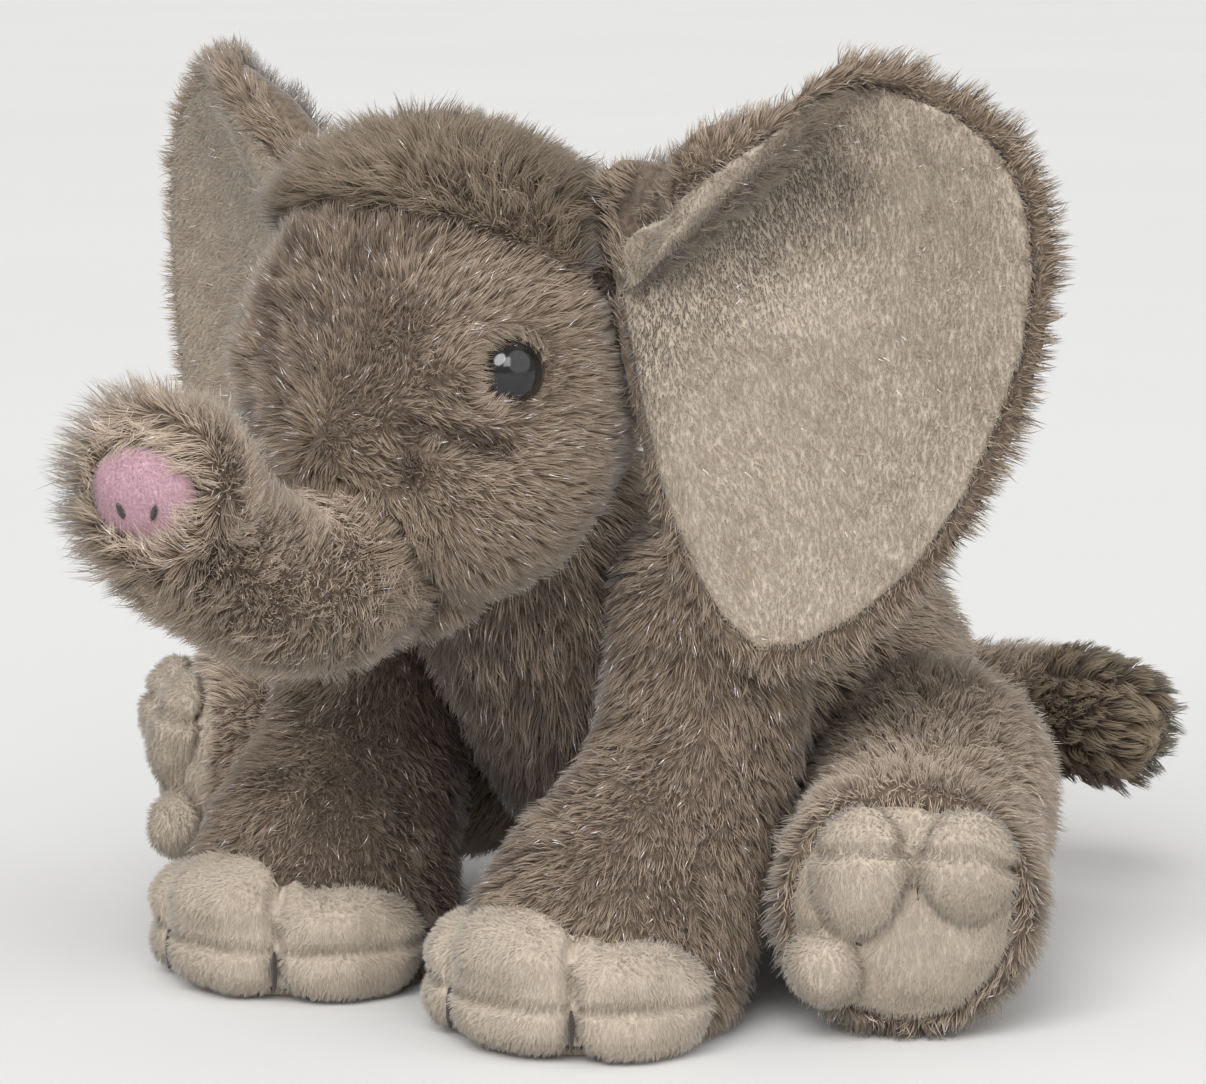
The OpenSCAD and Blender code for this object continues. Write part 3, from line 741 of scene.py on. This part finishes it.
coat("torso", torso, "torso", "taupe_plush", TAUPE_PAINTED_LIGHTER, brushed(0, 0.35, -1), 6.6, 145, 26, width=0.33,
     seed=11, lean=0.95, tone_of=belly_painted_shade)
attach(torso, "torso")


# Head: the face, crown and chin panels meet in one form, and the pile tells them apart


def dents(spots):
    """A sculpt of soft dents and swells: each spot is its middle, its radius and its height."""
    def move(co, no):
        total = np.zeros(len(co))
        for middle, radius, height in spots:
            total += height * within(co, middle, radius)
        return total
    return move


def crease(line, half_width, depth):
    """A sculpt of a sewn or pulled-in line."""
    def move(co, no):
        d, _ = near_line(co, line)
        return -depth * step(half_width, 0, d)
    return move


# Beside the nose, at the mouth's corner, cheek, forehead, and above, before and below the eye
FACE_DENTS = dents([
    (side_point, radius, height)
    for (x, y, z), radius, height in (
        ((13, -76, 141), 17, -1.9), ((18.5, -75, 119), 8, -1.6), ((40, -44, 116), 26, 2.6),
        ((18, -66, 162), 20, 1.4), ((33, -63, 149), 9, 2.0), ((29, -67.5, 139), 9, 3.4),
        ((36, -62, 129), 9, 1.2))
    for side_point in ((x, y, z), (-x, y, z))])
CHEEK_CREASE = [(20, -73, 127.6), (28.6, -69, 125.6), (35, -63.5, 123.6)]


def face_shape(co, no):
    total = FACE_DENTS(co, no)
    for side in SIDES:
        total += crease(mirror(CHEEK_CREASE, side), 4.5, 1.7)(co, no)
    return total


head = skin("head_cloth", ["face_skin", "crown_skin", "chin_skin"], ["head_stuffing"], TAUPE_CLOTH,
            voxel=1.3, seed=2, sculpt=face_shape)
# The sewn seam between face and crown lies in a plane that leans back
SEAM_POINT = np.array([0, -66, 174.0])
SEAM_TILT = math.radians(31)
SEAM_NORMAL = np.array([0, math.sin(SEAM_TILT), math.cos(SEAM_TILT)])


def behind_seam(p):
    """How far a point is behind the seam between face and crown."""
    return (p - SEAM_POINT) @ SEAM_NORMAL


def face_flow(p):
    """Up over the forehead, back over the cheeks and down to the chin."""
    return unit(p - np.array([0, -84, 124.0])) + np.array([0, 0.15, -0.1])


def crown_flow(p):
    """Forward over the seam, and down at the back of the head."""
    top = step(0, 26, behind_seam(p))[:, None]
    front = np.array([0, -1.0, 0.3]) + 0.02 * p[:, :1] * np.array([1.0, 0, 0])
    return (1 - top) * front + top * np.array([0, 0.5, -1.0])


def crest_length(p, n):
    """Longest just behind the seam, where the crest stands up."""
    d = behind_seam(p)
    return 6.5 + 3.5 * step(-1, 1, d) * (1 - step(12, 30, d))


def is_face(p, n):
    return behind_seam(p) < 0.5


def is_crown(p, n):
    return behind_seam(p) > -0.5


def onto_left(p):
    """Points of the right side moved to where they are mirrored on the left side."""
    return np.abs(p[:, :1]) * [1, 0, 0] + p * [0, 1, 1]


def face_painted_shade(p, n):
    """Painted shade: darker in the hollows beside the nose, on the brow, along the creases, at the mouth's
    corners, around the eyes and under the crest.
    """
    q = onto_left(p)
    hollow = within(q, (9, -75, 143), 26, 8)
    brow = step(148, 162, p[:, 2]) * step(-40, -56, p[:, 1])
    line, _ = near_line(q, [(20, -72, 127.5), (28.5, -67.5, 125.5), (34.5, -62.5, 123.7)])
    corner = within(q, (18.5, -73, 119.2), 7, 2)
    rim = within(q, (36, -59, 139), 13, 8)
    under_crest = step(-5, -0.5, behind_seam(p))
    return (-0.25 * under_crest - 0.42 * hollow - 0.6 * step(4.6, 1.4, line) - 0.6 * corner - 0.4 * rim
            - 0.26 * brow)


def face_length(p, n):
    """Shorter around the eyes and under the crest."""
    near_eye = within(onto_left(p), (37, -59, 139), 15, 8)
    behind = step(-62, -56, p[:, 1])
    under_crest = step(-7, -1, behind_seam(p))
    return 5.6 - 2.4 * near_eye * behind - 1.6 * under_crest


coat("face", head, "head", "taupe_plush", TAUPE, face_flow, face_length, 370, 36, width=0.23, seed=21,
     lean=0.95, where=is_face, glints=0.02, tone_of=face_painted_shade, lift=4.5)
coat("crown", head, "head", "olive_plush", OLIVE, crown_flow, crest_length, 300, 50, width=0.27, seed=23,
     lean=0.4, where=is_crown, glints=0.004)

# A fringe leans over each eye's edge. On the near side it leaves the eye's lower outer edge free
for side in SIDES:
    s = SIGN[side]
    eye = np.array([s * 36.7, -59.2, 139])

    def beside_eye(p, n):
        d = np.linalg.norm(p - eye, axis=1)
        inner = (s * (p[:, 0] - eye[0]) < -1) | (p[:, 2] > eye[2] + 2) | (s < 0)
        return (d > 5.5) & (d < 11) & inner

    grow(side + "_eye_fringe", head, "head", "taupe_plush", TAUPE, 800, 5.2 if side == "left" else 7.0, 0.2,
         lambda p: unit(eye - p), seed=25, lean=0.8, stray=0.1, gather=0.3, bend=False, where=beside_eye,
         lift=4.5, glints=0.01)
attach(head, "head")

# Trunk

TRUNK_LINE = [(0, -60, 104), (0, -74, 96), (0, -88, 95), (0.4, -102, 101), (1.6, -115, 110),
              (3.6, -124.5, 119), (6.4, -136, 121)]
trunk = skin("trunk_cloth", ["trunk_skin"], ["trunk_stuffing"], TAUPE_CLOTH, voxel=1.1,
             relax=18, seed=3, lumps=0.3)


def trunk_length(p, n):
    """Longer around the tip."""
    return 5.4 + 5.2 * step(-112, -127, p[:, 1])


coat("trunk", trunk, "trunk", "taupe_plush", TAUPE_PAINTED_LIGHTER, along(TRUNK_LINE), trunk_length, 350, 40,
     width=0.23, seed=31, lean=0.85, glints=0.016)
# Brushed backward, so that it closes the seam between trunk and cheeks
grow("mouth_pile", trunk, "trunk", "taupe_plush", TAUPE, 220, 6.0, 0.26,
     lambda p: -along(TRUNK_LINE)(p), seed=35, lean=0.8, where=lambda p, n: p[:, 1] > -82, lift=1.5,
     bend=False)
attach(trunk, "trunk", True)

disc = skin("trunk_tip_velour", ["trunk_tip_disc"], [], PINK_CLOTH, voxel=0.9, relax=3,
            inset=0.3, lumps=0.15, seed=4, puff=0.6)
attach(disc, "trunk")
grow("trunk_tip_nap", disc, "trunk", "pink_velour", PINK, 900, 0.9, 0.17, brushed(0.2, 0, -1), seed=33,
     lock=3, bend=False, lean=0.5, bends=False, lift=1.2, glints=0, mottle=0.08)

# Ears: a point of an ear is told by how far out it is from the ear's foot and by its height

EAR_FOOT = (42, -31)
EAR_TURN = math.radians(28)
# The curl's edge: its direction across, out and up, and a point on it, also out and up
CURL_ACROSS = (-0.661, 0.752)
CURL_EDGE = (-2, 151)


def ear_out(s):
    """The direction that an ear spreads in."""
    return np.array([s * math.cos(EAR_TURN), math.sin(EAR_TURN), 0])


def ear_place(s, drop, co):
    """For an ear's points: how far out, how high, and how far past the edge of its curl."""
    t = (co - np.array([s * EAR_FOOT[0], EAR_FOOT[1], -drop], float)) @ ear_out(s)
    z = co[:, 2] + drop
    return t, z, (t - CURL_EDGE[0]) * CURL_ACROSS[0] + (z - CURL_EDGE[1]) * CURL_ACROSS[1]


def ear_curl(s, drop, amount):
    """Curls the front top edge of an ear over the bowl below it, and deepens the bowl there."""
    ahead = np.array([s * math.sin(EAR_TURN), -math.cos(EAR_TURN), 0])
    way = -CURL_ACROSS[0] * ear_out(s) - CURL_ACROSS[1] * np.array([0, 0, 1])

    def curl(obj):
        co = coords(obj.data)
        t, z, past = ear_place(s, drop, co)
        share = amount * (1 - step(24, 56, t)) * step(-9, 3, t)
        over = (5.0 * step(-1, 5, past) + 0.55 * np.clip(past - 4, 0, 14)) * share
        rise = 2.0 * step(-1, 4, past) * share
        bowl = 4.0 * amount * step(22, 4, np.hypot(t - 37, z - 164)) * step(4, -4, past)
        set_coords(obj.data, co + over[:, None] * way + (rise - bowl)[:, None] * ahead)
    return curl


def ear_painted_shade(s, drop):
    """Painted shade: the lining is darker in the bowl under the curled edge."""
    def tone(p, n):
        t, _, past = ear_place(s, drop, p)
        under = step(-34, -8, past) * (1 - step(-1.5, 2, past))
        return -0.55 * under * (1 - step(38, 66, t)) * step(-4, 6, t)
    return tone


def ear_length(p, n):
    """Shorter beside the cheek, where the ear lies against the head."""
    return 5.8 - 3.2 * step(52, 46, np.abs(p[:, 0])) * step(150, 143, p[:, 2])


for side in SIDES:
    s = SIGN[side]
    body = side + "_ear"
    drop = 0 if side == "left" else 5
    back = skin(side + "_ear_cloth", [side + "_ear_back"], [], TAUPE_CLOTH, voxel=1.0,
                relax=8, inset=0.5, lumps=0.2, seed=5)
    curl = ear_curl(s, drop, 1.0 if side == "left" else 0.3)
    curl(back)
    coat(side + "_ear", back, body, "taupe_plush", TAUPE, away(s * 40, -31, 140 - drop), ear_length, 250,
         30, seed=41, lean=0.85)
    attach(back, body, True)
    front = skin(side + "_ear_lining", [side + "_ear_front"], [], BEIGE_CLOTH, voxel=1.0,
                 relax=12, inset=0.0, lumps=0.25, seed=6)
    curl(front)
    grow(side + "_ear_nap", front, body, "beige_velboa", EAR_NAP_PAINTED_DARKER, 420, 1.8, 0.27,
         brushed(s * 0.5, -0.2, -1), seed=43, lock=3, bend=False, lean=1.0, lift=6, wander=0.12, stray=0.26,
         mottle=0.08, glints=0, tone_of=ear_painted_shade(s, drop) if side == "left" else None)
    attach(front, body, True)

# Front legs

# The middle of a front foot on the floor, the directions of its toes' upright seams, outward from
# straight ahead, and the height of the level seam
FRONT_FOOT = (40, -35)
TOE_SEAM_ANGLES = (-26, 29)
TOE_SEAM_HEIGHT = 12.3
# The toes end at this angle on the outside, and the long pile starts at this height above them
TOES_END_ANGLE = 62
TOES_TOP = 16


def toe_angle(out, co):
    """Degrees outward from straight ahead, seen from the middle of a front foot."""
    return np.degrees(np.arctan2(out - FRONT_FOOT[0], -(co[:, 1] - FRONT_FOOT[1])))


def toe_grooves(s):
    """The front toes crown between two upright seams, and a level seam crosses them."""
    def near_seams(co):
        angle = toe_angle(co[:, 0] * s, co)
        first, second = (np.abs(angle - at) for at in TOE_SEAM_ANGLES)
        return np.minimum(first, second), np.abs(co[:, 2] - TOE_SEAM_HEIGHT)

    def move(co, no):
        upright, level = near_seams(co)
        return 1.1 * step(3, 16, upright) - 2.8 * step(6, 0.6, upright) - 1.1 * step(2.4, 0.3, level)

    # Painted shade along the seams' grooves
    def tone(p, n):
        upright, level = near_seams(p)
        return -0.6 * np.maximum(step(3.5, 1.0, upright), 0.8 * step(1.5, 0.4, level))
    return move, tone


LEG_LINE = [(46, -8, 100), (46, -9, 68), (45.5, -14, 48), (43, -25, 31), (40.5, -34, 17), (40, -35, 0)]


def not_toes(p, n):
    """Long pile stops above the toes, which are on the front of the foot."""
    out = np.abs(p[:, 0])
    ahead = -(p[:, 1] - FRONT_FOOT[1])
    facing = (ahead > 0.35 * np.hypot(out - FRONT_FOOT[0], ahead)) & (toe_angle(out, p) < TOES_END_ANGLE)
    return ~(facing & (p[:, 2] < TOES_TOP))


def front_leg_painted_shade(p, n):
    """Painted shade: a front leg is darker all over, more so toward its top and on the side that faces the
    other leg.
    """
    return -0.18 - 0.1 * step(20, 60, p[:, 2]) - 0.25 * step(40, 24, np.abs(p[:, 0]))


for side in SIDES:
    body = side + "_front_leg"
    leg = skin(body + "_cloth", [body + "_skin"], [body + "_stuffing"], TAUPE_CLOTH, seed=7,
               ground=True)
    coat(body, leg, body, "taupe_plush", TAUPE, along(mirror(LEG_LINE, side)), 5.6, 270, 30, seed=51,
         lean=1.0, where=not_toes, tone_of=front_leg_painted_shade)
    attach(leg, body, True)
    sole = skin(side + "_front_sole_velboa", [side + "_front_sole"], [], BEIGE_CLOTH,
                voxel=0.8, relax=3, inset=0.1, lumps=0, seed=8)
    grounded(sole, 0.05)
    attach(sole, body, True)
    grooves, toe_groove_painted_shade = toe_grooves(SIGN[side])
    toes = skin(side + "_front_toe_velboa", [side + "_front_toes"], [], BEIGE_CLOTH,
                voxel=1.3, relax=3, inset=0.1, lumps=0.3, seed=9, whole=False, puff=1.2, close=1.6,
                sculpt=grooves)
    grounded(toes, 0.5)
    grow(side + "_front_toe_nap", toes, body, "beige_velboa", TOE_NAP_PAINTED_LIGHTER, 400, 1.9, 0.27,
         brushed(0, -0.4, -1), seed=53, lock=4, bend=False, lean=0.9, lift=3.4, mottle=0.06, glints=0,
         tone_of=toe_groove_painted_shade)
    attach(toes, body, True)

# Hind legs

# The seam over the big toes: its height at places across the foot, both as shares of the foot's size
SEAM_PLACES = [0, 0.07, 0.33, 0.6, 0.65, 0.85, 1]
SEAM_HEIGHTS = [0.72, 0.76, 0.81, 0.79, 0.8, 0.8, 0.7]
# The groove between the big toes, and where the three toes crown: place, height, and half their sizes
GROOVE_PLACE = 0.555
TOE_CROWNS = ((0.32, 0.65, 0.25, 0.35), (0.76, 0.70, 0.24, 0.29), (0.17, 0.19, 0.17, 0.19))


def crease_on_toes(s):
    """The seam across the two big toes of a hind foot near their tops, and the groove between them."""
    across = np.array([s * 0.866, 0.5, 0])
    outward = np.array([s * 0.5, -0.866, 0])

    def near_seams(co):
        u, z = co @ across, co[:, 2]
        share = (u - u.min()) / (u.max() - u.min())
        seam = z.min() + np.interp(share, SEAM_PLACES, SEAM_HEIGHTS) * (z.max() - z.min())
        up = (z - z.min()) / (z.max() - z.min())
        groove = step(5.0, 0.4, (u.max() - u.min()) * np.abs(share - GROOVE_PLACE)) * step(0.42, 0.5, up)
        crown = sum(step(1.05, 0.3, np.hypot((share - a) / wide, (up - b) / high))
                    for a, b, wide, high in TOE_CROWNS)
        level = np.where(up > 0.55, np.abs(z - seam), 9.0)
        return crown, groove, level

    def move(co, no):
        crown, groove, level = near_seams(co)
        seams = np.maximum(1.5 * step(2.6, 0.3, level), 1.3 * groove)
        return 2.2 * crown * np.clip(no @ outward, 0, 1) - seams

    # Painted shade in the seam, in the groove between the big toes and at the toes' edges
    def tone(p, n):
        crown, groove, level = near_seams(p)
        edge = step(0.3, 0.08, crown)
        return -0.6 * np.maximum(np.maximum(step(1.6, 0.4, level), step(0.55, 0.95, groove)), 0.5 * edge)
    return move, tone


THIGH_LINE = [(45, 62, 42), (57, 55, 40), (69, 37, 36), (82, 17, 31), (91, 2, 28.5), (96, -5, 28)]
for side in SIDES:
    body = side + "_hind_leg"
    leg = skin(body + "_cloth", [body + "_skin"], [body + "_stuffing"], TAUPE_CLOTH, seed=10,
               ground=True)
    coat(body, leg, body, "taupe_plush", TAUPE_PAINTED_LIGHTER, along(mirror(THIGH_LINE, side), (0, 0, -0.35)), 6.2,
         240, 30, width=0.27, seed=61, lean=0.85)
    attach(leg, body, True)
    for part, node, seed in (("sole", "_hind_sole", 12), ("toe", "_hind_toes", 13)):
        seams, seam_painted_shade = crease_on_toes(SIGN[side]) if part == "toe" else (None, None)
        pad = skin(side + "_hind_" + part + "_velboa", [side + node], [], BEIGE_CLOTH,
                   voxel=1.3, relax=4, inset=0, lumps=0.4, seed=seed, whole=False, puff=1.4,
                   sculpt=seams, close=1.3 if part == "toe" else 0)
        grow(side + "_hind_" + part + "_nap", pad, body, "beige_velboa", BEIGE, 390, 1.9, 0.27,
             brushed(0, -0.3, -1), seed=63 + seed, lock=4, bend=False, lean=0.9, lift=3.4, mottle=0.06,
             glints=0, tone_of=seam_painted_shade)
        attach(pad, body, True)

# Tail

TAIL_LINE = [(2, 103, 47), (16, 117, 46.5), (36, 124.5, 46), (52, 125, 44.6), (70, 122, 44)]
tail = skin("tail_cloth", ["tail_skin", "tail_tuft"], ["tail_stuffing"], TAUPE_CLOTH,
            voxel=1.1, relax=14, seed=14)


def tuft_length(p, n):
    """Longer toward the end."""
    return 7.0 + 1.5 * step(46, 62, p[:, 0])


coat("tail", tail, "tail", "taupe_plush", TAUPE_PAINTED_LIGHTER, along(TAIL_LINE), 6.0, 220, 30, width=0.28, seed=71,
     lean=1.0, where=lambda p, n: p[:, 0] < 42)
grow("tuft_pile", tail, "tail", "olive_plush", TUFT, 260, tuft_length, 0.34, along(TAIL_LINE), seed=73,
     lock=26, gather=0.7, lean=1.2, where=lambda p, n: p[:, 0] > 40, glints=0)
attach(tail, "tail", True)

# Stuffing, pouch and neck plug are out of sight, but each is a finished piece. Small hard pieces and
# stitches keep their CAD shape and get their looks here


def stuffing_shape(co, no):
    """Uneven, and small enough to stay inside the cloth."""
    return -1.4 + 0.5 * ripple(co, 9, 90) + 0.25 * ripple(co, 4, 91)


CAD_LOOKS = {"washer": WHITE, "stitches": THREAD, "_eye": BLACK}
for node, obj in sorted(NODES.items()):
    pouch = node == "seat_pellet_pouch"
    if node.endswith("stuffing") or pouch:
        lump = joined(node + "_lump", [node])
        remeshed(lump, 2.4, 3)
        shape(lump, stuffing_shape)
        dress(lump, POUCH if pouch else FILL)
        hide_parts(node)
        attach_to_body(lump, obj["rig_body"])
    for ending, look in CAD_LOOKS.items():
        if node.endswith(ending):
            dress(obj, look)

# Studio ------------------------------------------------------------------------------------------

floor_mesh = bpy.data.meshes.new("floor")
floor_mesh.from_pydata([(-20, -20, 0), (20, -20, 0), (20, 20, 0), (-20, 20, 0)], [], [(0, 1, 2, 3)])
floor = add_object("floor", floor_mesh)
paper = Paint("paper", Roughness=0.9, Specular_IOR_Level=0.1)
grain = paper.noise(paper.place(), 3.0, 2.0)
paper.colour(paper.ramp(grain, [(0.3, (0.80, 0.80, 0.80)), (0.7, (0.815, 0.815, 0.815))]))
dress(floor, paper.mat)


def lamp(name, kind, energy, **settings):
    data = bpy.data.lights.new(name, kind)
    data.energy = energy
    obj = bpy.data.objects.new(name, data)
    scene.collection.objects.link(obj)
    for key, value in settings.items():
        setattr(data, key, value)
    return obj


def aim(obj, spot, at=(0, 0, 0.1)):
    obj.location = spot
    obj.rotation_euler = (Vector(at) - Vector(spot)).to_track_quat("-Z", "Y").to_euler()


world = bpy.data.worlds.new("studio")
scene.world = world
world.use_nodes = True
world.node_tree.nodes["Background"].inputs["Color"].default_value = (1.0, 0.99, 0.97, 1)
world.node_tree.nodes["Background"].inputs["Strength"].default_value = 0.46
key = lamp("key", "SUN", 2.3, angle=math.radians(35))
aim(key, (0.55, -1.4, 1.2))
side_fill = lamp("side_fill", "SUN", 0.8, angle=math.radians(60))
aim(side_fill, (1.8, -0.2, 1.0))
front = lamp("front", "AREA", 5.0, shape="RECTANGLE", size=0.5, size_y=0.7)
aim(front, (1.1, -1.0, 0.9))
scene.view_settings.view_transform = "Standard"
